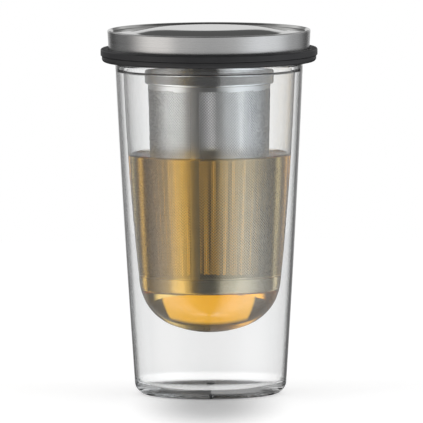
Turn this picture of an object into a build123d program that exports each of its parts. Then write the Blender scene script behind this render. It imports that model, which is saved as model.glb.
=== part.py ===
from build123d import *
import os

# Lidded tea glass with a steel infuser. Millimetres, +Z up.
# The origin is on the axis, in the plane that the foot stands on.

# ---- driving sizes: double-wall glass ----
glass_height = 146.0           # standing plane to the top of the rim
rim_radius = 41.2              # outside of the outer wall at the rim
foot_radius = 32.8             # outside of the outer wall, carried down to the standing plane
outer_bulge = 0.42             # how far the outer wall bows out from a straight cone
outer_wall = 1.2
foot_corner = 5.7              # round between the standing plane and the outer wall
base_thickness = 3.0
recess_radius = 22.0           # raised middle of the underside, inside the standing ring
recess_depth = 0.8

rim_gap = 2.2                  # air between the two walls at the rim
foot_gap = 3.3                 # air between them low down, with the bowl's wall carried on straight
base_gap = 24.2                # air between the base and the lowest point of the bowl
bowl_bulge = 1.3
bowl_wall = 1.2
bowl_corner = 22.4             # round between the bowl's wall and its dished bottom
bowl_dish_radius = 45.0        # curve of the bowl's bottom
rim_bead = 3.0                 # height of the fused bead that joins the two walls
rim_round = 1.7

# ---- driving sizes: vent seal in the base ----
vent_bore = 1.3                # radius of the hole
vent_head_radius = 1.7
vent_head_height = 1.3
vent_clearance = 0.05

# ---- driving sizes: steel infuser ----
collar_clearance = 8.4         # between the inside of the bowl's rim and the collar
collar_depth = 9.5             # top of the rim down to the underside of the collar
collar_lip_round = 0.9         # outside round of the collar's inturned lower lip
collar_throat = 4.5            # outside round between the collar and its flange
steel = 0.5                    # sheet of the collar and of the base cup

tube_inset = 1.45              # how much smaller the tube is than the collar
base_clearance = 2.4           # between the bowl's wall, carried on straight down, and the tube's foot
tube_wall = 0.4
tube_rise = 1.0                # how far the tube stands up inside the collar's lip

floor_clearance = 17.4         # between the bowl's floor and the underside of the base cup
base_band = 6.4                # height of the plain band
base_round = 1.2
weld_gap = 0.02                # between sheets that are welded to each other

# ---- driving sizes: silicone ring ----
ring_overhang = 6.3            # how far the ring stands out past the rim of the glass
ring_step = 0.55               # how much smaller the lower band is
ring_step_height = 2.7         # height of the lower band
ring_height = 5.9              # seat on the rim to the top of the lip
ring_lip = 3.35                # thickness of the lip round the lid
ring_corner = 1.5
ring_lip_round = 0.8
throat_clearance = 0.7         # between the collar's throat and the bore of the ring
spigot_depth = 1.2             # rib that centres the ring inside the glass
spigot_clearance = 0.5
flange_cover = 4.5             # silicone beyond the flange's edge
groove_floor = 1.4             # silicone under the flange
groove_clearance = 0.3         # beyond the flange's edge
lid_seat = 3.4                 # seat on the rim to the floor that the lid stands on

# ---- driving sizes: lid ----
lid_height = 10.6              # lower edge to the rim
lid_flare = 0.65               # how much wider the lid is at its top than at its lower edge
lid_sheet = 0.8
lid_edge_round = 0.5
lid_rim_width = 1.1            # flat land round the recess
lid_recess_depth = 1.2
lid_recess_lean = 0.8          # how far the recess's outer wall leans in
lid_recess_width = 8.6         # flat floor of the recess
lid_recess_round = 0.6         # round between that floor and the outer wall
lid_boss_flank = 12.0          # width of the slope from the recess up to the raised middle
lid_boss_height = 0.9          # raised middle above the rim
lid_boss_round = 60.0          # round between the raised middle and its flank
lid_flank_round = 15.0         # round at the foot of the flank
lid_clearance = 0.3            # between the skirt and the ring's lip

# ---- levels that follow from them ----
bead_level = glass_height - rim_bead
seat_level = glass_height
flange_level = seat_level + groove_floor
lid_level = seat_level + lid_seat
lid_rim_level = lid_level + lid_height
bowl_underside = base_thickness + base_gap
collar_bottom = seat_level - collar_depth
infuser_bottom = bowl_underside + bowl_wall + floor_clearance
cup_floor = infuser_bottom + steel
tube_foot = infuser_bottom + base_round     # the tube stands on the cup's inner round
tube_head = collar_bottom + steel + tube_rise

# ---- radii that follow from them ----
bowl_rim_radius = rim_radius - outer_wall - rim_gap
bowl_foot_radius = foot_radius - outer_wall - foot_gap
bowl_bore = bowl_rim_radius - bowl_wall
collar_radius = bowl_bore - collar_clearance
tube_top_radius = collar_radius - tube_inset
tube_bottom_radius = bowl_foot_radius - bowl_wall - base_clearance
ring_radius = rim_radius + ring_overhang
ring_bore = collar_radius + collar_throat + throat_clearance
flange_radius = ring_radius - flange_cover
lid_skirt_radius = ring_radius - ring_lip - lid_clearance
lid_top_radius = lid_skirt_radius + lid_flare
lid_recess_radius = lid_top_radius - lid_rim_width - lid_recess_lean
lid_flank_radius = lid_recess_radius - lid_recess_width
lid_boss_radius = lid_flank_radius - lid_boss_flank


def spin(region):
    """Solid of revolution about Z of a region drawn right of the axis, x outwards and y up."""
    return revolve(Plane.XZ * region, Axis.Z, 360)


def box_region(low_radius, high_radius, low, high):
    """Rectangle between two radii and two levels."""
    return Pos((low_radius + high_radius) / 2, (low + high) / 2) * Rectangle(
        high_radius - low_radius, high - low
    )


def corners_at(region, radius, level):
    """The corner of a region nearest to a place, for rounding."""
    return region.vertices().sort_by_distance((radius, level, 0))[0]


def wall_region(low_radius, high_radius, bulge, low, high):
    """Everything inside a bowed wall that runs from the low level to the high level."""
    middle = ((low_radius + high_radius) / 2 + bulge, (low + high) / 2)
    edges = [
        Line((0, low), (low_radius, low)),
        ThreePointArc((low_radius, low), middle, (high_radius, high)),
        Line((high_radius, high), (0, high)),
        Line((0, high), (0, low)),
    ]
    return make_face(Wire(edges))


def flat_vessel(inset, floor, corner):
    """The outer wall's region, moved in by an inset, with a flat floor and a rounded foot."""
    whole = wall_region(
        foot_radius - inset, rim_radius - inset, outer_bulge, 0, glass_height
    )
    if floor > 0:
        whole = whole - box_region(0, rim_radius, -floor, floor)
    foot = whole.vertices().sort_by(Axis.Y)[:2].sort_by(Axis.X)[-1]
    return fillet(foot, corner)


def dished_vessel(inset):
    """The bowl's region, moved in by an inset, with a dished bottom and a large round corner."""
    lowest = bowl_underside + inset
    whole = wall_region(
        bowl_foot_radius - inset,
        bowl_rim_radius - inset,
        bowl_bulge,
        bowl_underside,
        glass_height,
    )
    dish = bowl_dish_radius - inset
    round_bottom = Pos(0, lowest + dish) * Circle(dish)
    above = box_region(0, rim_radius, lowest + dish, glass_height + dish)
    whole = whole & (round_bottom + above)
    edge = whole.vertices().sort_by(Axis.Y)[1]
    return fillet(edge, bowl_corner - inset)


def outer_glass_wall():
    """Blown outer wall with a thick base, a standing ring and the vent hole."""
    wall = flat_vessel(0, 0, foot_corner) - flat_vessel(
        outer_wall, base_thickness, foot_corner - outer_wall
    )
    wall = wall - box_region(0, rim_radius, bead_level, glass_height)
    recess_curve = (recess_radius**2 + recess_depth**2) / (2 * recess_depth)
    recess = Pos(0, recess_depth - recess_curve) * Circle(recess_curve)
    vent = box_region(0, vent_bore, 0, base_thickness)
    return spin(wall - recess - vent)


def inner_glass_bowl():
    """Blown bowl whose rim bead is fused onto the top of the outer wall."""
    bead_band = box_region(0, rim_radius, bead_level, glass_height)
    bead = flat_vessel(0, 0, foot_corner) & bead_band
    bowl = (dished_vessel(0) + bead) - dished_vessel(bowl_wall)
    rim_corners = bowl.vertices().sort_by(Axis.Y)[-2:]
    return spin(fillet(rim_corners, rim_round))


def base_vent_seal():
    """Small seal that closes the vent: a stem in the hole and a head inside the base."""
    stem = box_region(0, vent_bore - vent_clearance, recess_depth, base_thickness)
    head = box_region(0, vent_head_radius, base_thickness, base_thickness + vent_head_height)
    rounded = fillet(
        corners_at(head, vent_head_radius, base_thickness + vent_head_height),
        vent_head_height / 2,
    )
    return spin(stem + rounded)


def tube_radius(level):
    """Outside radius of the perforated tube at a level."""
    share = (level - tube_foot) / (collar_bottom - tube_foot)
    return tube_bottom_radius + share * (tube_top_radius - tube_bottom_radius)


def infuser_collar():
    """Drawn steel collar: a flange for the ring, a rounded throat and an inturned lower lip."""
    flange_top = flange_level + steel
    outside = box_region(0, collar_radius, collar_bottom, flange_top) + box_region(
        0, flange_radius, flange_level, flange_top
    )
    outside = fillet(corners_at(outside, collar_radius, flange_level), collar_throat)
    outside = fillet(corners_at(outside, collar_radius, collar_bottom), collar_lip_round)
    inner_radius = collar_radius - steel
    inside = box_region(0, inner_radius, collar_bottom + steel, flange_top)
    inside = fillet(
        corners_at(inside, inner_radius, collar_bottom + steel), collar_lip_round - steel
    )
    flare = box_region(
        inner_radius, collar_radius + collar_throat, flange_top - collar_throat - steel, flange_top
    )
    funnel = flare - Pos(collar_radius + collar_throat, flange_level - collar_throat) * Circle(
        collar_throat + steel
    )
    neck = box_region(0, tube_radius(collar_bottom + steel) + weld_gap, collar_bottom, flange_top)
    return spin(outside - inside - funnel - neck)


def infuser_tube():
    """Rolled tube of perforated sheet, slightly tapered, that stands in the base cup."""
    low, high = tube_radius(tube_foot), tube_radius(tube_head)
    edges = Polyline(
        (low - tube_wall, tube_foot),
        (low, tube_foot),
        (high, tube_head),
        (high - tube_wall, tube_head),
        (low - tube_wall, tube_foot),
    )
    return spin(make_face(edges))


def infuser_base():
    """Plain pressed cup that closes the lower end of the tube."""
    top = infuser_bottom + base_band
    tube_in_cup = max(tube_radius(tube_foot), tube_radius(top))
    inner_radius = tube_in_cup + weld_gap
    outer_radius = inner_radius + steel
    cup = box_region(0, outer_radius, infuser_bottom, top)
    cup = fillet(corners_at(cup, outer_radius, infuser_bottom), base_round)
    hollow = box_region(0, inner_radius, cup_floor, top)
    hollow = fillet(corners_at(hollow, inner_radius, cup_floor), base_round - steel)
    return spin(cup - hollow)


def silicone_ring():
    """Ring on the glass rim: grips the flange, centres in the glass and holds the lid in its lip."""
    top = seat_level + ring_height
    step_level = seat_level + ring_step_height
    lower_radius = ring_radius - ring_step
    body = box_region(ring_bore, lower_radius, seat_level, step_level)
    body = fillet(corners_at(body, lower_radius, seat_level), ring_corner)
    upper = box_region(ring_bore, ring_radius, step_level, top)
    upper = fillet(corners_at(upper, ring_radius, top), ring_lip_round)
    spigot = box_region(
        ring_bore, bowl_bore - spigot_clearance, seat_level - spigot_depth, seat_level
    )
    lid_room = box_region(0, ring_radius - ring_lip, lid_level, top)
    groove = box_region(
        ring_bore, flange_radius + groove_clearance, flange_level, flange_level + steel
    )
    return spin(body + upper + spigot - lid_room - groove)


def lid_middle(inset):
    """Region under the lid's recess and raised middle, moved in at the skirt and down at the top."""
    floor_level = lid_rim_level - lid_recess_depth - inset
    boss_level = lid_rim_level + lid_boss_height - inset
    share = (floor_level - lid_level) / lid_height
    region = make_face(
        Polyline(
            (0, boss_level),
            (0, lid_level),
            (lid_skirt_radius - inset, lid_level),
            (lid_skirt_radius + share * lid_flare - inset, floor_level),
            (lid_flank_radius, floor_level),
            (lid_boss_radius, boss_level),
            (0, boss_level),
        )
    )
    region = fillet(corners_at(region, lid_flank_radius, floor_level), lid_flank_round)
    return fillet(corners_at(region, lid_boss_radius, boss_level), lid_boss_round)


def lid():
    """Pressed steel lid, open underneath: a rim, a recess inside it and a raised middle."""
    floor_level = lid_rim_level - lid_recess_depth
    share = (floor_level - lid_level) / lid_height
    rim = make_face(
        Polyline(
            (lid_recess_radius, floor_level),
            (lid_skirt_radius + share * lid_flare, floor_level),
            (lid_top_radius, lid_rim_level),
            (lid_top_radius - lid_rim_width, lid_rim_level),
            (lid_recess_radius, floor_level),
        )
    )
    shell = lid_middle(0) + rim
    shell = fillet(corners_at(shell, lid_recess_radius, floor_level), lid_recess_round)
    shell = fillet(corners_at(shell, lid_top_radius, lid_rim_level), lid_edge_round)
    return spin(shell - lid_middle(lid_sheet))


os.makedirs("parts", exist_ok=True)
for make in (
    outer_glass_wall,
    inner_glass_bowl,
    base_vent_seal,
    infuser_collar,
    infuser_tube,
    infuser_base,
    silicone_ring,
    lid,
):
    export_step(make(), f"parts/{make.__name__}.step")
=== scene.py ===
import bpy
import numpy as np
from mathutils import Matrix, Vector


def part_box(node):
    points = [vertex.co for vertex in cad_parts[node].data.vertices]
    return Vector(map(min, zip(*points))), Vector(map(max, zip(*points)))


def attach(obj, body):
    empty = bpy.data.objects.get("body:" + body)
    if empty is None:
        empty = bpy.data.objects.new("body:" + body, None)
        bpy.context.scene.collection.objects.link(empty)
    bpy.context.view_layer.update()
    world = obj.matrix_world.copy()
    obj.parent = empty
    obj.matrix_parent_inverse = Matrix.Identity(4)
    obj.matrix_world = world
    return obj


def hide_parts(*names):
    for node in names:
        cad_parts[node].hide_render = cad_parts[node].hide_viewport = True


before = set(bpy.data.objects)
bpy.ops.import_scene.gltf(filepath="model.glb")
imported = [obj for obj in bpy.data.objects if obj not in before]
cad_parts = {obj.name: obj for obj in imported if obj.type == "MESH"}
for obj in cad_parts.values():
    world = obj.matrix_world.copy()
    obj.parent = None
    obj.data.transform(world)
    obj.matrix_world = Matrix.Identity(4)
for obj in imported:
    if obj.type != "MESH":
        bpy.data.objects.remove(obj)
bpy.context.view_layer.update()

mm = 0.001
uvRoom, uvStrip = 1.01, 0.005         # room in a UV map for the strip that closes a profile


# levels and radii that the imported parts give, in mm
def reach(node):
    # outer radius, lowest and highest level of a round node
    low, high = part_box(node)
    return high[0] / mm, low[2] / mm, high[2] / mm


rimRadius, bowlLevel, rimLevel = reach("inner_glass_bowl")
beadLevel = reach("outer_glass_wall")[2]
ringRadius, spigotLevel, ringTop = reach("silicone_ring")
lidRadius, lidLevel, lidTop = reach("lid")
flangeRadius, collarLevel, flangeTop = reach("infuser_collar")
tubeTopRadius, tubeFoot, tubeHead = reach("infuser_tube")
cupRadius, cupLevel, cupTop = reach("infuser_base")
plugRadius, plugLevel, plugTop = reach("base_vent_seal")


# shapes

def fillet(before, here, after, size, stepAngle):
    # tangent arc in a corner: its centre lies on the bisector, size / sin(half the corner) away
    back = (before - here) / np.linalg.norm(before - here)
    on = (after - here) / np.linalg.norm(after - here)
    half = np.arccos(np.clip(back @ on, -1, 1)) / 2
    middle = (back + on) / np.linalg.norm(back + on)
    centre = here + middle * size / np.sin(half)
    start = here + back * size / np.tan(half) - centre
    side = here + on * size / np.tan(half) - centre
    turn = np.pi - 2 * half
    steps = max(3, int(np.ceil(np.degrees(turn) / stepAngle)) + 1)
    share = np.linspace(0, 1, steps)[:, None]
    return centre + (np.sin((1 - share) * turn) * start + np.sin(share * turn) * side) / np.sin(turn)


def outline(corners, stepAngle=9):
    # straight runs between (radius, level, round) corners, with an arc where the round isn't 0,
    # and one more point on the run close to each arc so that its flat stays flat in the shading
    places = np.array([corner[:2] for corner in corners], float)
    made = [places[:1]]
    for index in range(1, len(corners) - 1):
        before, here, after = places[index - 1:index + 2]
        size = corners[index][2]
        if size == 0:
            made.append(places[index:index + 1])
            continue
        arc = fillet(before, here, after, size, stepAngle)
        hold = min(0.3 * size, 0.15)
        lead = (before - here) / np.linalg.norm(before - here) * hold
        trail = (after - here) / np.linalg.norm(after - here) * hold
        made += [arc[:1] + lead, arc, arc[-1:] + trail]
    made.append(places[-1:])
    return np.concatenate(made)


def addMesh(name, points, faceSets, uvSets=None, sharpAngle=40):
    # whole arrays into a mesh: points in mm, faces as arrays of three or more corner numbers
    mesh = bpy.data.meshes.new(name)
    corners = np.concatenate([faces.ravel() for faces in faceSets]).astype(np.int32)
    sizes = np.concatenate([np.full(len(faces), faces.shape[1]) for faces in faceSets])
    starts = np.concatenate(([0], np.cumsum(sizes)[:-1])).astype(np.int32)
    mesh.vertices.add(len(points))
    mesh.vertices.foreach_set("co", (points * mm).astype(np.float32).ravel())
    mesh.loops.add(len(corners))
    mesh.loops.foreach_set("vertex_index", corners)
    mesh.polygons.add(len(sizes))
    mesh.polygons.foreach_set("loop_start", starts)
    if uvSets:
        uvLayer = mesh.uv_layers.new(name="UVMap")
        uvLayer.data.foreach_set("uv", np.concatenate([uv.ravel() for uv in uvSets]).astype(np.float32))
    mesh.update(calc_edges=True)
    mesh.validate()
    mesh.polygons.foreach_set("use_smooth", np.ones(len(mesh.polygons), bool))
    mesh.set_sharp_from_angle(angle=np.radians(sharpAngle))
    piece = bpy.data.objects.new(name, mesh)
    bpy.context.scene.collection.objects.link(piece)
    return piece


def spun(name, profile, turns=256, closed=False, sharpAngle=40):
    # a profile carried round Z: point = (r cos a, r sin a, z) over every angle a and profile place;
    # an end on the axis becomes one pole, a closed profile joins its last place to its first
    profile = np.asarray(profile, float)
    keep = np.concatenate(([True], np.linalg.norm(np.diff(profile, axis=0), axis=1) > 1e-5))
    profile = profile[keep]
    radius, level = profile.T
    around = np.sum((radius + np.roll(radius, -1)) * (np.roll(level, -1) - level))
    if around < 0:                    # so that the faces point outwards
        profile = profile[::-1]
        radius, level = profile.T
    angle = np.arange(turns) * 2 * np.pi / turns
    poleStart, poleEnd = (not closed) and radius[0] < 1e-6, (not closed) and radius[-1] < 1e-6
    ringR = radius[poleStart:len(radius) - poleEnd]
    ringZ = level[poleStart:len(level) - poleEnd]
    rings = len(ringR)
    gridR = np.repeat(ringR[:, None], turns, 1)
    gridZ = np.repeat(ringZ[:, None], turns, 1)
    points = np.stack([gridR * np.cos(angle), gridR * np.sin(angle), gridZ], -1).reshape(-1, 3)
    length = np.concatenate(([0], np.cumsum(np.linalg.norm(np.diff(profile, axis=0), axis=1))))
    length = length / (length[-1] * uvRoom)
    ringV = length[poleStart:len(length) - poleEnd]
    rows = np.arange(rings if closed else rings - 1)
    here, on = np.meshgrid(rows, np.arange(turns), indexing="ij")
    up = (here + 1) % rings
    side = (on + 1) % turns
    quads = np.stack([here * turns + on, here * turns + side, up * turns + side, up * turns + on], -1)
    quads = quads.reshape(-1, 4)
    topV = np.where(up == 0, 1 / uvRoom + uvStrip, ringV[up]) if closed else ringV[up]
    u0, u1 = on / turns, (on + 1) / turns
    quadUv = np.stack([u0, ringV[here], u1, ringV[here], u1, topV, u0, topV], -1).reshape(-1, 8)
    faceSets, uvSets = [quads], [quadUv]
    turn = np.arange(turns)
    ends = np.stack([turn, turn + 1], -1)
    for wanted, first, poleLevel, ringAt, poleV, way in (
            (poleStart, 0, level[0], ringV[0], 0, -1),
            (poleEnd, (rings - 1) * turns, level[-1], ringV[-1], 1 / uvRoom, 1)):
        if not wanted:
            continue
        faceSets.append(np.column_stack([ends[:, ::way] % turns + first, np.full(turns, len(points))]))
        points = np.vstack([points, [0, 0, poleLevel]])
        u, v = ends[:, ::way] / turns, np.full(turns, ringAt)
        uvSets.append(np.stack([u[:, 0], v, u[:, 1], v, (turn + 0.5) / turns, np.full(turns, poleV)], -1))
    return addMesh(name, points, faceSets, uvSets, sharpAngle)


# materials

def put(tree, socket, value):
    # an output is linked to the socket, anything else is set in it
    if isinstance(value, bpy.types.NodeSocket):
        tree.links.new(value, socket)
    else:
        socket.default_value = value


def fill(tree, node, values):
    for label, value in values.items():
        put(tree, node.inputs[label], value)


def addNode(tree, kind, *inTurn, **values):
    # a value with a socket's name goes there, any other with a name is a property of the node, and
    # values without one go to its sockets in turn
    node = tree.nodes.new(kind)
    for key, value in values.items():
        if key in node.inputs:
            put(tree, node.inputs[key], value)
        else:
            setattr(node, key, value)
    for socket, value in zip(node.inputs, inTurn):
        put(tree, socket, value)
    return node


def mathNode(tree, operation, *values):
    return addNode(tree, "ShaderNodeMath", *values, operation=operation).outputs[0]


def times(tree, first, second):
    return mathNode(tree, "MULTIPLY", first, second)


def vectorNode(tree, operation, *values):
    return addNode(tree, "ShaderNodeVectorMath", *values, operation=operation).outputs


def rangeNode(tree, value, lowIn, highIn, lowOut, highOut, smooth=False):
    return addNode(tree, "ShaderNodeMapRange", value, lowIn, highIn, lowOut, highOut,
                   interpolation_type="SMOOTHSTEP" if smooth else "LINEAR").outputs[0]


def mixColour(tree, share, first, second, blend="MIX"):
    mix = addNode(tree, "ShaderNodeMix", data_type="RGBA", blend_type=blend)
    for number, value in ((0, share), (6, first), (7, second)):
        put(tree, mix.inputs[number], value)
    return mix.outputs[2]


def grey(level):
    return (level, level, level, 1)


def split(tree, place):
    return addNode(tree, "ShaderNodeSeparateXYZ", place).outputs


def objectPlace(tree):
    return addNode(tree, "ShaderNodeTexCoord").outputs["Object"]


def axisDistance(tree, place):
    # distance from the Z axis
    return vectorNode(tree, "LENGTH", vectorNode(tree, "MULTIPLY", place, (1, 1, 0))[0])["Value"]


def startMaterial(name):
    material = bpy.data.materials.new(name)
    material.use_nodes = True
    tree = material.node_tree
    tree.nodes.clear()
    shader = addNode(tree, "ShaderNodeBsdfPrincipled")
    output = addNode(tree, "ShaderNodeOutputMaterial", Surface=shader.outputs[0])
    return material, tree, shader, output


def startGroup(name, inputs, outputs):
    # an input without a value is a vector
    tree = bpy.data.node_groups.new(name, "ShaderNodeTree")
    for label, value in inputs.items():
        kind = "NodeSocketVector" if value is None else "NodeSocketFloat"
        socket = tree.interface.new_socket(name=label, in_out="INPUT", socket_type=kind)
        if value is not None:
            socket.default_value = value
    for label in outputs:
        tree.interface.new_socket(name=label, in_out="OUTPUT", socket_type="NodeSocketFloat")
    return tree, tree.nodes.new("NodeGroupInput").outputs, tree.nodes.new("NodeGroupOutput")


def groupNode(tree, group, values):
    node = tree.nodes.new("ShaderNodeGroup")
    node.node_tree = group
    fill(tree, node, values)
    return node.outputs


brush = dict(along=14.0, broadScale=(0.5, 0.5, 0.13), fineShare=0.65, broadShare=0.35, contrast=(0.35, 0.65),
             lineTint=0.6, markTint=0.4)
cloud = dict(contrast=(0.3, 0.7), grainScale=22.0)


def makeBrushGroup():
    # brushing round the axis: noise squeezed across the lines, so that it runs on along the turn;
    # Across is how far a place lies across the lines, in metres
    tree, given, outside = startGroup(
        "turnedBrushing",
        {"Vector": None, "Across": 0.0, "Lines": 9000.0, "Rough low": 0.2, "Rough high": 0.35},
        ("Height", "Roughness", "Mask"),
    )
    x, y = split(tree, vectorNode(tree, "MULTIPLY", given["Vector"], [brush["along"]] * 3)[0])[:2]
    across = times(tree, given["Across"], given["Lines"])
    place = addNode(tree, "ShaderNodeCombineXYZ", x, y, across).outputs[0]
    fine = addNode(tree, "ShaderNodeTexNoise", Vector=place, Scale=1.0, Detail=3.0, Roughness=0.6)
    broadPlace = vectorNode(tree, "MULTIPLY", place, brush["broadScale"])[0]
    broad = addNode(tree, "ShaderNodeTexNoise", Vector=broadPlace, Scale=1.0, Detail=2.0, Roughness=0.5)
    both = mathNode(tree, "ADD", times(tree, fine.outputs[0], brush["fineShare"]),
                    times(tree, broad.outputs[0], brush["broadShare"]))
    mask = rangeNode(tree, both, *brush["contrast"], 0.0, 1.0)
    spread = mathNode(tree, "SUBTRACT", given["Rough high"], given["Rough low"])
    rough = mathNode(tree, "ADD", times(tree, mask, spread), given["Rough low"])
    fill(tree, outside, {"Height": both, "Roughness": rough, "Mask": mask})
    return tree


def makeMottleGroup():
    # cloudy handling marks, and a fine grain beside them
    tree, given, outside = startGroup("softMottle", {"Vector": None, "Size": 120.0}, ("Value", "Grain"))
    broad = addNode(tree, "ShaderNodeTexNoise", Vector=given["Vector"], Scale=given["Size"],
                    Detail=4.0, Roughness=0.55)
    fine = addNode(tree, "ShaderNodeTexNoise", Vector=given["Vector"],
                   Scale=times(tree, given["Size"], cloud["grainScale"]), Detail=2.0, Roughness=0.6)
    fill(tree, outside, {"Value": rangeNode(tree, broad.outputs[0], *cloud["contrast"], 0.0, 1.0, True),
                         "Grain": fine.outputs[0]})
    return tree


brushing = makeBrushGroup()
mottle = makeMottleGroup()


def tinted(tree, share, look):
    return mixColour(tree, share, (*look["dark"], 1), (*look["light"], 1))


def addBump(tree, shader, height, distance):
    bump = addNode(tree, "ShaderNodeBump", Strength=1.0, Distance=distance, Height=height)
    put(tree, shader.inputs["Normal"], bump.outputs[0])


def turnedSteel(name, look, across="level"):
    # steel with lines that run round the axis; across says which way is across them
    material, tree, shader, output = startMaterial(name)
    place = objectPlace(tree)
    far = split(tree, place)[2] if across == "level" else axisDistance(tree, place)
    lines = groupNode(tree, brushing, {"Vector": place, "Across": far, "Lines": look["lines"],
                                       "Rough low": look["rough"][0], "Rough high": look["rough"][1]})
    marks = groupNode(tree, mottle, {"Vector": place, "Size": look["markSize"]})
    share = mathNode(tree, "ADD", times(tree, lines["Mask"], brush["lineTint"]),
                     times(tree, marks["Value"], brush["markTint"]))
    fill(tree, shader, {"Base Color": tinted(tree, share, look), "Roughness": lines["Roughness"],
                        "Metallic": 1.0})
    if look["stretch"]:
        tangent = addNode(tree, "ShaderNodeTangent", direction_type="RADIAL", axis="Z")
        fill(tree, shader, {"Anisotropic": look["stretch"], "Anisotropic Rotation": 0.25,
                            "Tangent": tangent.outputs[0]})
    addBump(tree, shader, lines["Height"], look["bump"])
    return material


def clearMaterial(name, look):
    # clear body that bends light, and lets lamps through so that what is inside is lit
    material, tree, shader, output = startMaterial(name)
    marks = groupNode(tree, mottle, {"Vector": objectPlace(tree), "Size": look["markSize"]})
    fill(tree, shader, {"Base Color": tinted(tree, marks["Value"], look), "Roughness": 0.0,
                        "IOR": look["ior"], "Transmission Weight": 1.0})
    addBump(tree, shader, marks["Value"], look["bump"])
    through = addNode(tree, "ShaderNodeBsdfTransparent", Color=(*look["shade"], 1))
    lampRay = addNode(tree, "ShaderNodeLightPath").outputs["Is Shadow Ray"]
    mix = addNode(tree, "ShaderNodeMixShader", lampRay, shader.outputs[0], through.outputs[0])
    put(tree, output.inputs["Surface"], mix.outputs[0])
    return material, tree, output


def rubberMaterial(name, look):
    material, tree, shader, output = startMaterial(name)
    marks = groupNode(tree, mottle, {"Vector": objectPlace(tree), "Size": look["markSize"]})
    fill(tree, shader, {"Base Color": tinted(tree, marks["Value"], look),
                        "Roughness": rangeNode(tree, marks["Value"], 0, 1, *look["rough"])})
    addBump(tree, shader, marks["Grain"], look["grain"])
    return material


# the double-wall glass, blown in one with its fused rim
glass = dict(
    footRadius=32.8, outerBulge=0.42, wall=1.2, footCorner=5.7, base=3.0,
    recessRadius=22.0, recessDepth=0.8, bore=0.6, rimRound=1.7, crotchRound=1.0,
    bowlGap=3.4, bowlFoot=28.3, bowlBulge=1.3, bowlCorner=22.4, dish=45.0, bowlBottom=bowlLevel,
    ripple=0.028, rippleTurn=2.1, rippleStart=3.0, rippleEnd=21.0, rippleFade=6.0,
    rimJoin=0.3, footJoin=9.0, turns=208,
)


def wallCurve(lowRadius, highRadius, lowLevel, highLevel, bulge, count):
    # straight cone plus a parabola of the bulge: r = chord + 4 bulge t (1 - t)
    t = np.linspace(0, 1, count)
    radius = lowRadius + (highRadius - lowRadius) * t + 4 * bulge * t * (1 - t)
    return np.stack([radius, lowLevel + (highLevel - lowLevel) * t], -1)


def leftOf(curve):
    # unit normals to the left of the way the curve runs
    way = np.gradient(curve, axis=0)
    way /= np.linalg.norm(way, axis=1)[:, None]
    return np.stack([-way[:, 1], way[:, 0]], -1)


def onArc(centre, radius, angle):
    return centre + radius * np.stack([np.cos(angle), np.sin(angle)], -1)


def bowlCurve(g):
    # from the axis to the rim: a dish, a tangent corner arc, and the bowed wall
    wall = wallCurve(g["bowlFoot"], rimRadius - g["bowlGap"], g["bowlBottom"], rimLevel,
                     g["bowlBulge"], 3000)
    inward = leftOf(wall)
    centres = wall + inward * g["bowlCorner"]
    dishCentre = np.array([0, g["bowlBottom"] + g["dish"]])
    miss = np.linalg.norm(centres - dishCentre, axis=1) - (g["dish"] - g["bowlCorner"])
    # the corner's centre lies on the circle that is tangent to the dish
    at = np.argmax(miss[:-1] * miss[1:] < 0)
    centre = centres[at]
    toDish = (centre - dishCentre) / np.linalg.norm(centre - dishCentre)
    dishEnd = np.arctan2(toDish[1], toDish[0])
    dish = onArc(dishCentre, g["dish"], np.linspace(-np.pi / 2, dishEnd, 30)[:-1])
    wallAngle = np.arctan2(-inward[at][1], -inward[at][0])
    corner = onArc(centre, g["bowlCorner"], np.linspace(dishEnd, wallAngle, 34))
    return np.concatenate([dish, corner[:-1], wall[at::60]])


def below(curve, level):
    # the part of a rising curve under a level, ending exactly on it
    radius = np.interp(level, curve[:, 1], curve[:, 0])
    return np.concatenate([curve[curve[:, 1] < level - 0.05], [[radius, level]]])


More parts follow.
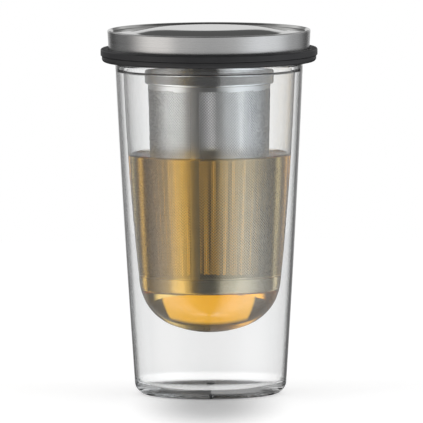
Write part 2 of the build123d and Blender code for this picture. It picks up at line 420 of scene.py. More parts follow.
def glassOutline(g):
    # one closed way: up the bowl's inside, over the rim, down the outer wall, under the foot to the
    # vent hole, and back through the room between the walls to the bowl's underside
    bowlOut = bowlCurve(g)
    bowlIn = bowlOut + leftOf(bowlOut) * g["wall"]
    bowlIn[0] = (0, g["bowlBottom"] + g["wall"])
    outer = wallCurve(g["footRadius"], rimRadius, 0, rimLevel, g["outerBulge"], 60)
    inside = np.array([outer[:, 0] - g["wall"], outer[:, 1]]).T
    rimFoot = rimLevel - g["rimRound"] - g["rimJoin"]
    innerTop = np.interp(rimFoot, bowlIn[:, 1], bowlIn[:, 0])
    outerTop = np.interp(rimFoot, outer[:, 1], outer[:, 0])
    rim = outline([
        (innerTop, rimFoot, 0), (innerTop, rimLevel, g["rimRound"]),
        (outerTop, rimLevel, g["rimRound"]), (outerTop, rimFoot, 0),
    ])
    outerDown = outer[(outer[:, 1] < rimFoot - g["rimJoin"]) & (outer[:, 1] > g["footJoin"] - 1)][::-1]
    footWay = np.interp(g["footJoin"], outer[:, 1], outer[:, 0])
    foot = outline([(footWay, g["footJoin"], 0), (g["footRadius"], 0, g["footCorner"]),
                    (g["recessRadius"], 0, 0)], 5)
    recessShare = np.linspace(1, g["bore"] / g["recessRadius"], 16)
    recess = np.stack([g["recessRadius"] * recessShare, g["recessDepth"] * (1 - recessShare**2)], -1)
    boreTop = np.array([[g["bore"], g["base"] - 0.3], [g["bore"] + 0.1, g["base"] - 0.08],
                        [g["bore"] + 0.3, g["base"]]])
    floorRadius = np.linspace(g["bore"] + 0.8, g["footRadius"] - g["footCorner"] - 1, 60)
    # shallow rings left in the base by the glass blower's tool, (1 - cos) of the radius
    rings = g["ripple"] * (1 - np.cos((floorRadius - 2) * g["rippleTurn"]))
    rings = rings * np.clip((floorRadius - g["rippleStart"]) / g["rippleFade"], 0, 1)
    rings = rings * np.clip((g["rippleEnd"] - floorRadius) / g["rippleFade"], 0, 1)
    floor = np.stack([floorRadius, g["base"] + rings], -1)
    insideWay = np.interp(g["footJoin"], inside[:, 1], inside[:, 0])
    corner = outline([
        (floorRadius[-1] + 0.2, g["base"], 0),
        (g["footRadius"] - g["wall"], g["base"], g["footCorner"] - g["wall"]),
        (insideWay, g["footJoin"], 0),
    ], 5)
    crotchLevel = beadLevel - g["crotchRound"]
    up = below(inside[inside[:, 1] > g["footJoin"] + 0.3], crotchLevel)
    down = below(bowlOut, crotchLevel)[::-1]
    middle, halfGap = (up[-1, 0] + down[0, 0]) / 2, (up[-1, 0] - down[0, 0]) / 2
    crotch = onArc((middle, crotchLevel), (halfGap, g["crotchRound"]), np.linspace(0, np.pi, 13)[1:-1])
    bowlUp = below(bowlIn, rimFoot - g["rimJoin"])
    return bowlIn, np.concatenate([bowlUp, rim, outerDown, foot, recess, boreTop, floor, corner,
                                   up, crotch, down])


print("glass")
bowlInside, glassProfile = glassOutline(glass)
glassLook = dict(light=(1.0, 1.0, 1.0), dark=(0.99, 0.995, 0.995), ior=1.473, bump=0.000015,
                 markSize=45.0, shade=(0.96, 0.96, 0.96))
glassPiece = spun("doubleWallGlass", glassProfile, glass["turns"], sharpAngle=60)
glassPiece.data.materials.append(clearMaterial("clearGlass", glassLook)[0])
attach(glassPiece, "glass")
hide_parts("outer_glass_wall", "inner_glass_bowl")


# the tea, which is contents
tea = dict(level=104.8, intoGlass=0.12, rise=1.1, creep=1.6)
teaLook = dict(light=(1.0, 0.99, 0.96), dark=(0.985, 0.96, 0.90), ior=1.333, bump=0.000005,
               markSize=60.0, shade=(0.95, 0.80, 0.50), body=(0.965, 0.75, 0.0), strength=36.0)


def teaOutline(t):
    # the bowl's inside moved out a little into the glass, and a surface that climbs the wall:
    # level + rise * exp(-distance from the wall / creep)
    side = bowlInside - leftOf(bowlInside) * t["intoGlass"]
    side[0] = (0, bowlInside[0, 1] - t["intoGlass"])
    side = below(side, t["level"] + t["rise"])
    edge = side[-1, 0]
    away = np.concatenate([np.geomspace(0.05, 8, 18), np.linspace(10, edge, 12)])
    top = np.stack([edge - away, t["level"] + t["rise"] * np.exp(-away / t["creep"])], -1)
    top[-1, 0] = 0
    return np.concatenate([side, top])


print("tea")
teaMaterial, teaTree, teaOutput = clearMaterial("greenTea", teaLook)
teaBody = addNode(teaTree, "ShaderNodeVolumeAbsorption", Color=(*teaLook["body"], 1),
                  Density=teaLook["strength"])
put(teaTree, teaOutput.inputs["Volume"], teaBody.outputs[0])
teaPiece = spun("teaFill", teaOutline(tea), sharpAngle=80)
teaPiece.data.materials.append(teaMaterial)
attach(teaPiece, "glass")


# the plug in the vent hole of the base
plug = dict(stem=0.62, edge=0.5, tip=0.15, brim=0.12, seat=0.01)
plugLook = dict(dark=(0.035, 0.035, 0.037), light=(0.06, 0.06, 0.062), markSize=90.0, rough=(0.4, 0.55),
                grain=0.00001)

print("plug")
plugSeat = glass["base"] + plug["seat"]
plugPiece = spun("ventPlug", outline([
    (0, plugLevel, 0), (plug["stem"], plugLevel, plug["tip"]), (plug["stem"], plugSeat, 0),
    (plugRadius, plugSeat, plug["brim"]), (plugRadius, plugTop, plug["edge"]), (0, plugTop, 0),
]), 96)
plugPiece.data.materials.append(rubberMaterial("ventSilicone", plugLook))
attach(plugPiece, "glass")
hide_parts("base_vent_seal")


# the infuser: a tube of perforated sheet between a collar and a cup
sheet = dict(
    wall=0.4, columns=131, hole=0.35, sides=8, firstRow=52.9, lastRow=134.3, seamAngle=-104.0, seamHalf=1.5,
    skew=7.46, extraRows=6, margin=0.3, bands=4, plainSteps=3,
)
cup = dict(sheet=0.5, round=1.2, lip=0.2, tubeFit=0.02)
tubeLook = dict(lines=2500.0, rough=(0.28, 0.33), markSize=140.0, dark=(0.78, 0.78, 0.77),
                light=(0.85, 0.85, 0.84), stretch=0.9, bump=0.0000005)
# the tube's inward faces: the same steel painted far darker, a painted shade for the inside of the tube
shadedInsideLook = dict(lines=2500.0, rough=(0.38, 0.45), markSize=140.0, dark=(0.15, 0.15, 0.15),
                  light=(0.21, 0.21, 0.21), stretch=0.0, bump=0.0000005)


def faceData(piece):
    # middle and normal of every face
    found = []
    for field in ("center", "normal"):
        values = np.empty(len(piece.data.polygons) * 3, np.float32)
        piece.data.polygons.foreach_get(field, values)
        found.append(values.reshape(-1, 3))
    return found


def tubeFootRadius():
    # the tube just fits the bore of the cup at its top, so its foot follows from head and fit
    atTop = cupRadius - cup["sheet"] - cup["tubeFit"]
    slope = (tubeTopRadius - atTop) / (tubeHead - cupTop)
    return atTop - slope * (cupTop - tubeFoot)


def skewedLevel(s, row, angle):
    # rows climb by the skew in one turn from the seam; past the last holes, where the sheet is plain,
    # they are squeezed so that they stay short of its ends
    seam = np.radians(s["seamAngle"])
    turn = ((angle - seam) % (2 * np.pi)) / (2 * np.pi)
    strip = s["seamHalf"] / s["columns"]
    # in the plain strip the rows slope back down to where they start
    turn = np.where(turn < strip, 0.5 + (turn / strip) * (strip - 0.5), turn)
    turn = np.where(turn > 1 - strip, 0.5 + (1 - turn) / strip * (0.5 - strip), turn)
    level = s["firstRow"] + row * s["pitch"] + s["skew"] * (turn - 0.5)
    low, high = s["firstRow"] - s["pitch"], s["lastRow"] + s["pitch"]
    over = s["extraRows"] * s["pitch"] + s["skew"] / 2
    level = np.where(level > high, high + (level - high) * (tubeHead - s["margin"] - high) / over, level)
    return np.where(level < low, low - (low - level) * (low - tubeFoot - s["margin"]) / over, level)


def sheetBand(name, s, rows, lowEnd, highEnd):
    # holes on a lattice of half pitches: a hole centre where column + row is even, and a corner of the
    # diamonds round them where it is odd; each hole is a ring of points inside its diamond, on the
    # outside of the sheet and on its inside, with a wall between
    half = s["columns"] * 2
    footRadius = tubeFootRadius()

    def radiusAt(level):
        return footRadius + (tubeTopRadius - footRadius) * (level - tubeFoot) / (tubeHead - tubeFoot)

    first, last = rows
    gridRows = np.arange(first - 1, last + 1)
    column, row = np.meshgrid(np.arange(half), gridRows, indexing="ij")
    cornerAt = (column + row) % 2 == 1
    number = np.full((half, len(gridRows)), -1)
    number[cornerAt] = np.arange(cornerAt.sum())
    cornerAngle = column[cornerAt] * 2 * np.pi / half
    cornerLevel = skewedLevel(s, row[cornerAt], cornerAngle)
    corners = int(cornerAt.sum())
    holeColumn, holeRow = np.meshgrid(np.arange(half), np.arange(first, last), indexing="ij")
    holeAt = (holeColumn + holeRow) % 2 == 0
    holeColumn, holeRow = holeColumn[holeAt], holeRow[holeAt]
    holeAngle = holeColumn * 2 * np.pi / half
    seam = np.radians(s["seamAngle"])
    fromSeam = np.abs((holeAngle - seam + np.pi) % (2 * np.pi) - np.pi) / (2 * np.pi / s["columns"])
    centre = skewedLevel(s, holeRow, holeAngle)
    plain = (fromSeam < s["seamHalf"]) | (centre < s["firstRow"] - 0.1) | (centre > s["lastRow"] + 0.1)

    def cornerNumber(columns, rowsAt):
        return number[columns % half, rowsAt - (first - 1)]

    diamonds = np.stack([cornerNumber(holeColumn + across, holeRow + upward)
                         for across, upward in ((1, 0), (0, 1), (-1, 0), (0, -1))], -1)
    cut = ~plain
    count = int(cut.sum())
    ringAngle = np.arange(s["sides"]) * 2 * np.pi / s["sides"]
    centreLevel = centre[cut]
    ringLevel = centreLevel[:, None] + s["hole"] * np.sin(ringAngle)
    ringTurn = holeAngle[cut][:, None] + s["hole"] * np.cos(ringAngle) / radiusAt(centreLevel)[:, None]

    def onSheet(turn, level, inset):
        radius = radiusAt(level) - inset
        return np.stack([radius * np.cos(turn), radius * np.sin(turn), level], -1).reshape(-1, 3)

    points, faces3, faces4, faces5 = [], [], [], []
    each = corners + count * s["sides"]
    ringNumber = corners + np.arange(count * s["sides"]).reshape(count, s["sides"])
    quarter = s["sides"] // 4
    for layer, inset in enumerate((0, s["wall"])):
        points += [onSheet(cornerAngle, cornerLevel, inset), onSheet(ringTurn, ringLevel, inset)]
        shift = layer * each
        for corner in range(4):
            here = diamonds[cut][:, corner]
            on = diamonds[cut][:, (corner + 1) % 4]
            ring = [ringNumber[:, (corner * quarter + k) % s["sides"]] for k in range(quarter, -1, -1)]
            face = np.stack([here, on] + ring, -1) + shift
            faces5.append(face if layer == 0 else face[:, ::-1])
        whole = diamonds[plain] + shift
        faces4.append(whole if layer == 0 else whole[:, ::-1])
    nextNumber = np.roll(ringNumber, -1, 1)
    faces4.append(np.stack([nextNumber, ringNumber, ringNumber + each, nextNumber + each], -1).reshape(-1, 4))
    points = np.concatenate(points)

    steps = s["plainSteps"]
    for rowAt, side, end in ((first, -1, lowEnd), (last - 1, 1, highEnd)):
        # the edge of the band: corners of its outermost row of diamonds, up and down in turn
        middle = np.arange(half)[(np.arange(half) + rowAt) % 2 == 0]
        a, b, c = (cornerNumber(middle - 1, rowAt), cornerNumber(middle, rowAt + side),
                   cornerNumber(middle + 1, rowAt))
        if end is None:               # the next band goes on here: close the cut
            for start, stop in ((a, b), (b, c)):
                faces4.append(np.stack([start, stop, stop + each, start + each], -1)[:, ::side])
            continue
        # fill between the diamonds, then a plain band up or down to the end of the tube
        filler = np.stack([b, np.roll(b, -1), c], -1)
        faces3 += [filler[:, ::-side], (filler + each)[:, ::side]]
        size, levels = len(b), cornerLevel[b]
        rowNumbers = len(points) + np.arange(2 * steps * size).reshape(2, steps, size)
        points = np.concatenate([points] + [
            onSheet(cornerAngle[b], levels + (end - levels) * (step + 1) / steps, inset)
            for inset in (0, s["wall"]) for step in range(steps)
        ])
        rowsOut, rowsIn = [b, *rowNumbers[0]], [b + each, *rowNumbers[1]]
        joins = [(rowsOut[k], rowsOut[k + 1], -side) for k in range(steps)]
        joins += [(rowsIn[k], rowsIn[k + 1], side) for k in range(steps)]
        for lower, upper, flip in joins + [(rowsOut[-1], rowsIn[-1], -side)]:
            face = np.stack([np.roll(lower, -1), lower, upper, np.roll(upper, -1)], -1)
            faces4.append(face[:, ::flip])
    faceSets = faces5 + [np.concatenate(faces4)] + ([np.concatenate(faces3)] if faces3 else [])
    return addMesh(name, points, faceSets, None, 50)


print("infuser sheet")
holedHeight = sheet["lastRow"] - sheet["firstRow"]
sheet["rowCount"] = int(round(holedHeight / (np.pi * tubeTopRadius / sheet["columns"])))
sheet["pitch"] = holedHeight / sheet["rowCount"]
tubeMaterial = turnedSteel("perforatedSteel", tubeLook)
shadedInsideMaterial = turnedSteel("steelInsidePaintedShade", shadedInsideLook)
bandEdges = np.linspace(-sheet["extraRows"], sheet["rowCount"] + 1 + sheet["extraRows"], sheet["bands"] + 1)
bandEdges = bandEdges.astype(int)
for band in range(sheet["bands"]):
    ends = (tubeFoot if band == 0 else None, tubeHead if band == sheet["bands"] - 1 else None)
    bandPiece = sheetBand(f"infuserSheet{band + 1}", sheet, bandEdges[band:band + 2], *ends)
    bandPiece.data.materials.append(tubeMaterial)
    bandPiece.data.materials.append(shadedInsideMaterial)
    # faces that point to the axis take the painted-shade copy of the steel
    faceCentres, faceNormals = faceData(bandPiece)
    inward = np.sum(faceCentres[:, :2] * faceNormals[:, :2], 1) < 0
    bandPiece.data.polygons.foreach_set("material_index", inward.astype(np.int32))
    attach(bandPiece, "infuser")
    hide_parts("infuser_tube")


print("infuser cup and collar")
cupLook = dict(lines=5000.0, rough=(0.14, 0.20), markSize=120.0, dark=(0.62, 0.62, 0.61),
               light=(0.68, 0.68, 0.67), stretch=0.0, bump=0.000001)
cupPiece = spun("infuserCup", outline([
    (0, cupLevel, 0), (cupRadius, cupLevel, cup["round"]), (cupRadius, cupTop, cup["lip"]),
    (cupRadius - cup["sheet"], cupTop, cup["lip"]),
    (cupRadius - cup["sheet"], cupLevel + cup["sheet"], cup["round"] - cup["sheet"]),
    (0, cupLevel + cup["sheet"], 0),
]))
cupPiece.data.materials.append(turnedSteel("pressedSteel", cupLook))
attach(cupPiece, "infuser")
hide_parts("infuser_base")

collar = dict(radius=28.2, sheet=0.5, throat=4.5, lip=0.9, tubeFit=0.04, edge=0.1)
collarLook = dict(lines=4000.0, rough=(0.07, 0.11), markSize=100.0, dark=(0.60, 0.60, 0.59),
                  light=(0.66, 0.66, 0.65), stretch=0.0, bump=0.0000005)
flangeLevel = flangeTop - collar["sheet"]
tubeLean = (tubeTopRadius - tubeFootRadius()) / (tubeHead - tubeFoot)
collarBore = tubeTopRadius - tubeLean * (tubeHead - collarLevel) + collar["tubeFit"]
collarPiece = spun("infuserCollar", outline([
    (collarBore, collarLevel, collar["edge"]), (collar["radius"], collarLevel, collar["lip"]),
    (collar["radius"], flangeLevel, collar["throat"]), (flangeRadius, flangeLevel, collar["edge"]),
    (flangeRadius, flangeTop, collar["edge"]),
    (collar["radius"] - collar["sheet"], flangeTop, collar["throat"] + collar["sheet"]),
    (collar["radius"] - collar["sheet"], collarLevel + collar["sheet"], collar["lip"] - collar["sheet"]),
    (collarBore, collarLevel + collar["sheet"], collar["edge"]), (collarBore, collarLevel, collar["edge"]),
])[1:-1], closed=True)
collarPiece.data.materials.append(turnedSteel("drawnSteel", collarLook))
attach(collarPiece, "infuser")
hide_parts("infuser_collar")


# the ring between glass, flange and lid
print("silicone ring")
ring = dict(step=0.55, stepHeight=2.7, bore=33.4, corner=1.5, lipRound=0.8, groove=0.25, grooveHalf=0.05,
            spigotGap=0.5, floor=3.4, lip=3.35, flangeGap=0.3, boreInset=4.6, seat=0.02, grip=0.01,
            edge=0.3, innerEdge=0.2, fineEdge=0.1, stepEdge=0.35, floorEdge=0.4)
ringLook = dict(dark=(0.016, 0.016, 0.018), light=(0.026, 0.026, 0.028), markSize=90.0, rough=(0.38, 0.5),
                grain=0.00002)
stepLevel = rimLevel + ring["stepHeight"]
lowerRadius = ringRadius - ring["step"]
spigotRadius = rimRadius - ring["boreInset"] - ring["spigotGap"]
grooveRadius = lowerRadius - ring["groove"]
gripRadius = flangeRadius + ring["flangeGap"]
floorLevel = rimLevel + ring["floor"]
ringPiece = spun("siliconeRing", outline([
    (ring["bore"], spigotLevel, ring["edge"]), (spigotRadius, spigotLevel, ring["edge"]),
    (spigotRadius, rimLevel + ring["seat"], ring["innerEdge"]),
    (lowerRadius, rimLevel + ring["seat"], ring["corner"]),
    (lowerRadius, stepLevel - 4 * ring["grooveHalf"], ring["fineEdge"]),
    (grooveRadius, stepLevel - ring["grooveHalf"], ring["grooveHalf"]),
    (grooveRadius, stepLevel + ring["grooveHalf"], ring["grooveHalf"]),
    (ringRadius, stepLevel + 2 * ring["grooveHalf"], ring["stepEdge"]),
    (ringRadius, ringTop, ring["lipRound"]), (ringRadius - ring["lip"], ringTop, ring["lipRound"]),
    (ringRadius - ring["lip"], floorLevel, ring["floorEdge"]), (ring["bore"], floorLevel, ring["floorEdge"]),
    (ring["bore"], flangeTop + ring["grip"], ring["innerEdge"]),
    (gripRadius, flangeTop + ring["grip"], ring["fineEdge"]),
    (gripRadius, flangeLevel - ring["grip"], ring["fineEdge"]),
    (ring["bore"], flangeLevel - ring["grip"], ring["innerEdge"]),
    (ring["bore"], spigotLevel, ring["edge"]),
])[1:-1], closed=True)
ringPiece.data.materials.append(rubberMaterial("darkSilicone", ringLook))
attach(ringPiece, "infuser")
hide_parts("silicone_ring")


# the lid, a cap with a recess round a raised middle
print("lid")
lid = dict(skirt=43.85, sheet=0.8, edge=0.5, fineEdge=0.25, rimWidth=1.1, boss=0.9, bossRound=60.0,
           flank=12.0, flankRound=15.0, recess=1.2, recessWidth=8.6, recessRound=0.6, lean=0.8,
           shoulder=0.1, turns=320)
sideLook = dict(lines=9000.0, rough=(0.22, 0.32), markSize=60.0, dark=(0.60, 0.60, 0.60),
                light=(0.66, 0.66, 0.66), stretch=0.5, bump=0.000003)
topLook = dict(lines=3000.0, rough=(0.05, 0.08), markSize=50.0, dark=(0.62, 0.62, 0.61),
               light=(0.68, 0.68, 0.67), stretch=0.0, bump=0.0000001)
lidRim = lidTop - lid["boss"]
recessRadius = lidRadius - lid["rimWidth"] - lid["lean"]


def lidMiddle(l, drop):
    # from the axis out: flat raised middle, flank down to the recess, and the recess's floor
    flankRadius = recessRadius - l["recessWidth"]
    return [(0, lidTop - drop, 0), (flankRadius - l["flank"], lidTop - drop, l["bossRound"]),
            (flankRadius, lidRim - l["recess"] - drop, l["flankRound"])]


recessLevel = lidRim - lid["recess"]
top = outline(lidMiddle(lid, 0) + [
    (recessRadius, recessLevel, lid["recessRound"]), (recessRadius + lid["lean"], lidRim, lid["fineEdge"]),
    (lidRadius, lidRim, lid["edge"]), (lid["skirt"], lidLevel, lid["fineEdge"]),
    (lid["skirt"] - lid["sheet"], lidLevel, lid["fineEdge"]),
    (lidRadius - lid["sheet"] - lid["shoulder"], recessLevel - lid["sheet"], lid["recessRound"]),
] + lidMiddle(lid, lid["sheet"])[::-1], 2)
lidPiece = spun("lidCap", top, lid["turns"], sharpAngle=50)
lidPiece.data.materials.append(turnedSteel("brushedLidSide", sideLook))
lidPiece.data.materials.append(turnedSteel("satinLidTop", topLook, "distance"))
# the band round the side is brushed, the rim, the top and the underside are finer
upright = np.abs(faceData(lidPiece)[1][:, 2]) < 0.5
lidPiece.data.polygons.foreach_set("material_index", np.where(upright, 0, 1).astype(np.int32))
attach(lidPiece, "lid")
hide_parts("lid")


# floor, light and camera
print("stage")
# the floor's low glow in front of the mug is a painted shadow, and its higher glow under the foot, seen
# through the glass, a painted pool of light
floorLook = dict(radius=800, sides=96, colour=0.80, glow=0.0, farGlow=0.50, near=0.004, far=0.039,
                 shadowAt=(0, 0.068, 0), shadowShape=(1, 0.3, 1), throughGlass=0.37, underGlass=0.64,
                 underReach=(0.04, 0.10))
floorAngle = np.arange(floorLook["sides"]) * 2 * np.pi / floorLook["sides"]
floorPoints = floorLook["radius"] * np.stack([np.cos(floorAngle), np.sin(floorAngle), 0 * floorAngle], -1)
floorPiece = addMesh("floor", floorPoints, [np.arange(floorLook["sides"])[None, :]])


# glass faces that a ray has crossed: 2 back out of one wall, 8 from steel in the empty glass, 10 in tea
crossings = dict(oneWall=2.5, steel=7.5, tea=9.5)


def unbroken(tree, rays, glossyTest):
    # 1 for a ray through glass before any matte surface; the test of its reflections picks those
    # without one or those with one
    through = times(tree, rays["Is Transmission Ray"], mathNode(tree, glossyTest, rays["Glossy Depth"], 0.5))
    return times(tree, through, mathNode(tree, "LESS_THAN", rays["Diffuse Depth"], 0.5))


def straightShare(tree, rays):
    # 1 for what the camera sees, also through clear glass, but not by a reflection or a diffuse bounce
    return mathNode(tree, "MAXIMUM", rays["Is Camera Ray"], unbroken(tree, rays, "LESS_THAN"))


def directShare(tree, rays):
    # 1 for a reflection that doesn't come through glass
    return times(tree, rays["Is Glossy Ray"], mathNode(tree, "SUBTRACT", 1.0, rays["Is Transmission Ray"]))


def mirroredShare(tree, rays):
    # 1 for what is mirrored, in bare metal or inside the glass, before any matte surface
    return mathNode(tree, "MAXIMUM", directShare(tree, rays), unbroken(tree, rays, "GREATER_THAN"))


def fade(tree, value, ends):
    # 0 at the first end, 1 at the second, smooth between them
    return rangeNode(tree, value, *ends, 0.0, 1.0, True)


def between(tree, value, low, high, soft):
    return times(tree, fade(tree, value, (low - soft, low + soft)),
                 rangeNode(tree, value, high - soft, high + soft, 1.0, 0.0, True))


def makeFloor(look):
    # a matte floor that glows to white but for a painted shadow in front of the mug, where the glow drops
    # to nothing on top of the lamps' own shadow; through the glass it glows less, and more under the foot
    # than far off, a painted pool of light there, and it isn't there for what is mirrored
    material, tree, shader, output = startMaterial("paleFloor")
    tree.nodes.remove(shader)
    rays = addNode(tree, "ShaderNodeLightPath").outputs
    place = objectPlace(tree)
    fromShadow = vectorNode(tree, "ADD", place, look["shadowAt"])[0]
    away = axisDistance(tree, vectorNode(tree, "MULTIPLY", fromShadow, look["shadowShape"])[0])
    # the glow falls to nothing in a patch in front of the mug: a painted shadow
    bright = rangeNode(tree, away, look["near"], look["far"], look["glow"], look["farGlow"], True)
    # seen through the glass the floor glows more under the foot: a painted pool of light
    under = rangeNode(tree, axisDistance(tree, place), *look["underReach"], look["underGlass"],
                      look["throughGlass"], True)
    notSeen = mathNode(tree, "SUBTRACT", 1.0, rays["Is Camera Ray"])
    level = mathNode(tree, "ADD", times(tree, bright, rays["Is Camera Ray"]), times(tree, under, notSeen))
    matte = addNode(tree, "ShaderNodeBsdfDiffuse", Color=grey(look["colour"]))
    glow = addNode(tree, "ShaderNodeEmission", Color=grey(1),
                   Strength=times(tree, straightShare(tree, rays), level))
    both = addNode(tree, "ShaderNodeAddShader", matte.outputs[0], glow.outputs[0])
    clear = addNode(tree, "ShaderNodeBsdfTransparent", Color=grey(1))
    mix = addNode(tree, "ShaderNodeMixShader", mirroredShare(tree, rays), both.outputs[0], clear.outputs[0])
    put(tree, output.inputs["Surface"], mix.outputs[0])
    return material


floorPiece.data.materials.append(makeFloor(floorLook))

# what polished and brushed surfaces see round the mug: (azimuth, brightness) and where it isn't 0
# the warmth, with azimuth 0 on the camera's side and 90 to its right; open is for bare metal below
# the horizon and openHigh above it; low and high are for what is seen through glass, low near the
# horizon and high away from it; tea is for what is mirrored in the tea; foot is the light in the
# glass's foot, screen the bright screen behind that the top of the lid mirrors, and behindTea the
# backdrop with its two dark bars
studio = dict(
    ambient=0.62,
    open=[(-152, 0.05), (-112, 0.20), (-68, 1.12, 0.03), (-52, 1.08, 0.03), (-34, 0.66, 0.01), (0, 0.56),
          (22, 0.60), (62, 1.12, -0.02), (80, 1.08, -0.02), (114, 0.45, -0.01), (152, 0.04)],
    openHigh=[(-168, 0.11), (-152, 0.30), (-136, 0.75), (-118, 0.60), (-100, 0.22), (-84, 0.09),
              (-20, 0.07), (20, 0.07), (84, 0.09), (100, 0.20), (118, 0.50), (136, 0.62), (152, 0.25),
              (168, 0.11)],
    openFrom=(-0.05, 0.10),
    low=[(-172, 0.07), (-163, 0.10), (-158, 0.42), (-150, 0.24), (-128, 0.16), (-112, 0.28), (-100, 0.42),
         (-80, 0.50, 0.02), (-62, 0.38, 0.02), (-42, 0.11), (-24, 0.07), (12, 0.07), (18, 0.10),
         (21, 0.28, -0.02), (38, 0.33, -0.03), (56, 0.42, -0.02), (86, 0.48, -0.02), (112, 0.42, -0.02),
         (134, 0.36), (150, 0.38), (160, 0.14), (172, 0.07)],
    high=[(-165, 0.4), (-140, 0.35), (-120, 0.60), (-104, 1.4), (-88, 2.4), (-60, 2.4), (-50, 1.5, 0.02),
          (-40, 0.36), (-22, 0.15), (0, 0.06), (14, 0.06), (20, 0.55, -0.02), (36, 1.2, -0.04),
          (52, 2.0, -0.06), (70, 2.0, -0.07), (86, 1.7, -0.07), (106, 1.1, -0.07), (124, 0.55, -0.07),
          (140, 0.22), (165, 0.4)],
    tea=[(-175, 0.2), (-168, 0.4), (-163, 2.0), (-155, 2.0), (-148, 0.05), (-128, 0.14), (-112, 0.26),
         (-100, 0.38), (-86, 0.55), (-67, 1.5), (-54, 1.75), (-44, 1.05), (-31, 0.18), (-10, 0.10),
         (8, 0.10), (15, 0.30), (24, 0.7), (42, 0.80), (58, 0.95), (74, 0.85), (90, 0.65), (104, 0.40),
         (124, 0.20), (146, 0.05), (154, 1.5), (163, 1.5), (168, 0.4), (175, 0.2)],
    foot=1.0, footFrom=(98, 108), footTo=(136, 146),
    highAbove=(0.02, 0.13), highBelow=(-0.13, -0.24), faceFrom=(-10, 20), faceShare=0.6,
    screen=dict(low=-0.10, high=0.165, soft=0.03, wide=(0.84, 0.96), light=0.72),
    warm=(1.06, 0.73, 0.24), warmFrom=(-16, -30),
    behindTea=(1.15, 0.88, 0.24), behindTop=(0.38, 0.47), behindFrom=(-0.05, 0.0),
    barRight=(132, 155.5), barLeft=(-158, -132), barSoft=1.2, barLight=0.06,
)


def roundRamp(tree, azimuthShare, stops):
    # a ring of soft panels: brightness by azimuth, some tinted warmer or cooler
    ramp = addNode(tree, "ShaderNodeValToRGB", azimuthShare)
    ramp.color_ramp.interpolation = "EASE"
    elements = ramp.color_ramp.elements
    elements[0].position, elements[1].position = 0.0, 1.0
    for azimuth, bright, *tint in stops:
        warm = tint[0] if tint else 0
        element = elements.new(azimuth / 360 + 0.5)
        element.color = (bright * (1 + warm), bright, bright * (1 - warm), 1)
    elements[0].color = elements[1].color
    elements[len(elements) - 1].color = elements[len(elements) - 2].color
    return ramp.outputs[0]


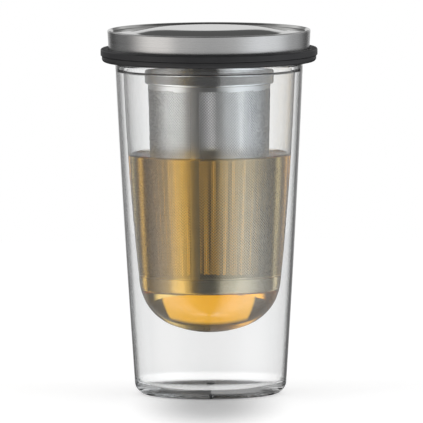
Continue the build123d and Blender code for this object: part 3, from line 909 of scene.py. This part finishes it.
def makeStudio(look):
    # a world that answers by where a ray goes and what it has crossed, so that metal, glass and tea
    # each mirror their own panels, and the backdrop stays white
    world = bpy.data.worlds.new("studio")
    bpy.context.scene.world = world
    world.use_nodes = True
    world.cycles.sampling_method = "NONE"
    tree = world.node_tree
    tree.nodes.clear()
    rays = addNode(tree, "ShaderNodeLightPath").outputs
    right, back, up = split(tree, addNode(tree, "ShaderNodeTexCoord").outputs["Generated"])
    turn = mathNode(tree, "ARCTAN2", right, times(tree, back, -1.0))
    azimuth = times(tree, turn, 180 / np.pi)
    share = mathNode(tree, "ADD", mathNode(tree, "DIVIDE", azimuth, 360), 0.5)

    def ramp(name):
        return roundRamp(tree, share, look[name])

    # what bare metal mirrors, with the screen behind
    screen = look["screen"]
    onScreen = times(tree, between(tree, up, screen["low"], screen["high"], screen["soft"]),
                     fade(tree, back, screen["wide"]))
    bare = mixColour(tree, fade(tree, up, look["openFrom"]), ramp("open"), ramp("openHigh"))
    openLight = mixColour(tree, onScreen, bare, grey(screen["light"]))
    # the faces of the glass itself mirror less of high than the steel inside, and least on the left
    crossed = rays["Transmission Depth"]
    away = mathNode(tree, "MAXIMUM", fade(tree, up, look["highAbove"]), fade(tree, up, look["highBelow"]))
    onSteel = mathNode(tree, "GREATER_THAN", crossed, crossings["steel"])
    fromRight = rangeNode(tree, azimuth, *look["faceFrom"], 0.0, look["faceShare"], True)
    away = times(tree, away, mathNode(tree, "MAXIMUM", onSteel, fromRight))
    glassLight = mixColour(tree, away, ramp("low"), ramp("high"))
    # the thick foot of the glass turns its edges to the sides
    around = mathNode(tree, "ABSOLUTE", azimuth)
    inFoot = times(tree, fade(tree, around, look["footFrom"]),
                   rangeNode(tree, around, *look["footTo"], 1.0, 0.0, True))
    inFoot = times(tree, inFoot, mathNode(tree, "LESS_THAN", crossed, crossings["oneWall"]))
    glassLight = mixColour(tree, inFoot, glassLight, grey(look["foot"]))
    # what comes through the tea, warmer from the left, where its way is longer
    inTea = mathNode(tree, "GREATER_THAN", crossed, crossings["tea"])
    fromLeft = rangeNode(tree, azimuth, *look["warmFrom"], 0.0, 1.0)
    warmed = mixColour(tree, fromLeft, grey(1), (*look["warm"], 1))
    teaLight = mixColour(tree, 1.0, ramp("tea"), warmed, "MULTIPLY")
    light = mixColour(tree, directShare(tree, rays), mixColour(tree, inTea, glassLight, teaLight), openLight)
    light = mixColour(tree, rays["Is Diffuse Ray"], light, grey(look["ambient"]))
    # the backdrop, with the two dark bars that frame it in the round of the tea
    bars = mathNode(tree, "ADD", between(tree, azimuth, *look["barRight"], look["barSoft"]),
                    between(tree, azimuth, *look["barLeft"], look["barSoft"]))
    bars = mathNode(tree, "MAXIMUM", bars, fade(tree, up, look["behindTop"]))
    behind = mixColour(tree, bars, (*look["behindTea"], 1), grey(look["barLight"]))
    rising = times(tree, inTea, fade(tree, up, look["behindFrom"]))
    backdrop = mixColour(tree, rising, grey(1), behind)
    light = mixColour(tree, straightShare(tree, rays), light, backdrop)
    background = addNode(tree, "ShaderNodeBackground", Color=light, Strength=1.0)
    addNode(tree, "ShaderNodeOutputWorld", Surface=background.outputs[0])


makeStudio(studio)

# rectangles of light that face the mug; azimuth 0 is the camera's side
lamps = dict(aim=(0, 0, 0.09), elevation=12, distance=0.9)
softBoxes = dict(
    leftBox=dict(azimuth=-66, size=(0.50, 0.95), watts=1.7, colour=(1.0, 0.985, 0.97)),
    rightBox=dict(azimuth=66, size=(0.55, 0.95), watts=1.65, colour=(0.97, 0.98, 1.0)),
)
for name, box in softBoxes.items():
    data = bpy.data.lights.new(name, "AREA")
    data.shape = "RECTANGLE"
    data.size, data.size_y = box["size"]
    data.energy = box["watts"]
    data.color = box["colour"]
    lamp = bpy.data.objects.new(name, data)
    a, e = np.radians(box["azimuth"]), np.radians(lamps["elevation"])
    way = Vector((np.sin(a) * np.cos(e), -np.cos(a) * np.cos(e), np.sin(e)))
    lamp.location = Vector(lamps["aim"]) + way * lamps["distance"]
    lamp.rotation_euler = way.to_track_quat("Z", "Y").to_euler()
    lamp.visible_camera = lamp.visible_glossy = lamp.visible_transmission = False
    bpy.context.scene.collection.objects.link(lamp)

view = dict(target=(0.00074, 0, 0.0800), elevation=4.7, distance=8.0, roll=0.28, frameWidth=0.1853,
            sensor=36.0, clip=(0.5, 60.0))
cameraData = bpy.data.cameras.new("camera")
cameraData.sensor_width = view["sensor"]
cameraData.lens = view["sensor"] * view["distance"] / view["frameWidth"]
cameraData.clip_start, cameraData.clip_end = view["clip"]
camera = bpy.data.objects.new("camera", cameraData)
tilt = np.radians(view["elevation"])
camera.location = Vector(view["target"]) + view["distance"] * Vector((0, -np.cos(tilt), np.sin(tilt)))
camera.rotation_euler = (np.radians(90 - view["elevation"]), 0, 0)
camera.rotation_euler.rotate_axis("Z", np.radians(-view["roll"]))
bpy.context.scene.collection.objects.link(camera)
bpy.context.scene.camera = camera

scene = bpy.context.scene
scene.view_settings.view_transform = "Standard"
bounces = dict(max=40, transmission=40, glossy=24, diffuse=4, transparent_max=48)
for kind, count in bounces.items():
    setattr(scene.cycles, kind + "_bounces", count)
